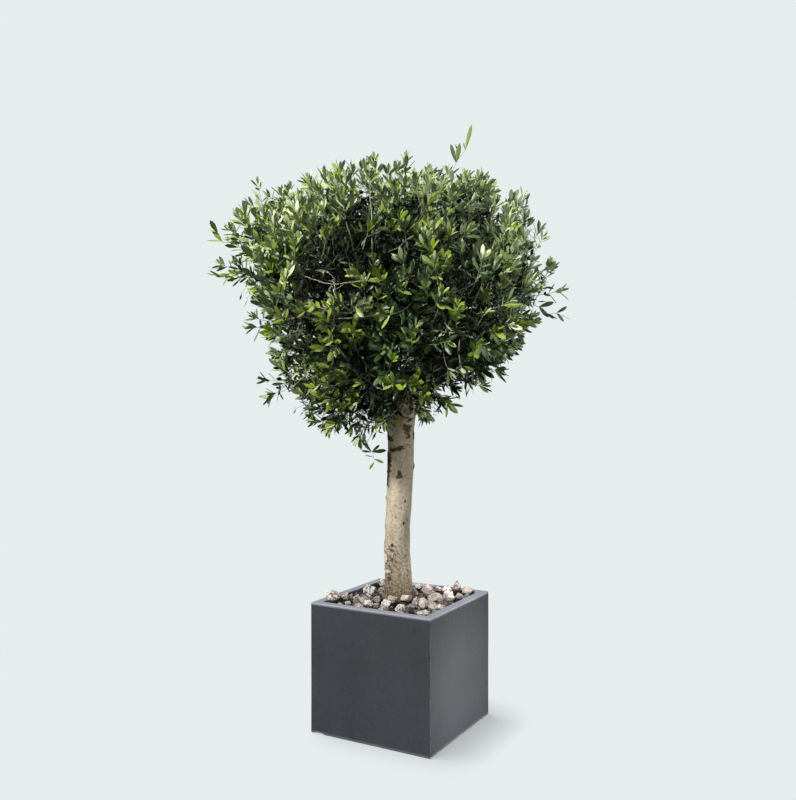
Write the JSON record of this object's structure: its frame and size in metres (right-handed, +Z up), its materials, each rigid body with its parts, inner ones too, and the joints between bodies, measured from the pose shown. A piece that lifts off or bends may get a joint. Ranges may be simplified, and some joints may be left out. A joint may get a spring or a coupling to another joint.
{
  "type": "potted olive tree",
  "caption": "Half-standard olive tree with a rounded, uneven crown on a bare trunk, in a square dark planter topped with pumice stones.",
  "frame": {"origin": "centre of the planter's flat underside", "axes": "+Z up; +X and +Y square to the planter's sides. The viewer of the picture stands 29.5 degrees from -Y towards +X, and sees the -Y side on the left and the +X side on the right"},
  "size_m": [1.244, 1.3256, 2.2844],
  "materials": {
    "planter": "matt anthracite fibre clay, faintly mottled, with a few pinholes",
    "soil": "dark, crumbly potting soil",
    "stone": "rough, pitted pumice, pale pinkish grey to beige",
    "bark": "pale grey-beige bark, smooth above with dark scars and knots, rough and fissured at the foot",
    "bough": "grey-brown bark on boughs and twigs",
    "foliage": "leathery olive leaves, grey-green above with paler, silvery undersides and yellow-green young shoots"
  },
  "bodies": {
    "root": {"planter": "planter", "root_ball": "soil", "trunk": "bark", "back_left_bough": "bough", "back_right_bough": "bough", "front_left_bough": "bough", "front_right_bough": "bough", "leader_bough": "bough", "left_bough": "bough", "right_bough": "bough", "upper_left_bough": "bough", "upper_right_bough": "bough", "back_left_mass": "foliage", "back_right_mass": "foliage", "crown_top": "foliage", "front_left_mass": "foliage", "front_right_mass": "foliage", "left_arm_mass": "foliage", "left_high_spray": "foliage", "left_low_spray": "foliage", "low_spray": "foliage", "lower_back_mass": "foliage", "lower_front_mass": "foliage", "lower_left_mass": "foliage", "lower_right_mass": "foliage", "right_arm_mass": "foliage", "right_spray": "foliage", "skirt_mass": "foliage", "top_spray": "foliage", "upper_back_mass": "foliage", "upper_front_mass": "foliage", "upper_left_mass": "foliage", "upper_right_mass": "foliage", "stone_01": "stone", "stone_02": "stone", "stone_03": "stone", "stone_04": "stone", "stone_05": "stone", "stone_06": "stone", "stone_07": "stone", "stone_08": "stone", "stone_09": "stone", "stone_10": "stone", "stone_11": "stone", "stone_12": "stone", "stone_13": "stone", "stone_14": "stone", "stone_15": "stone", "stone_16": "stone", "stone_17": "stone", "stone_18": "stone", "stone_19": "stone", "stone_20": "stone", "stone_21": "stone", "stone_22": "stone", "stone_23": "stone", "stone_24": "stone", "stone_25": "stone", "stone_26": "stone"}
  },
  "joints": []
}
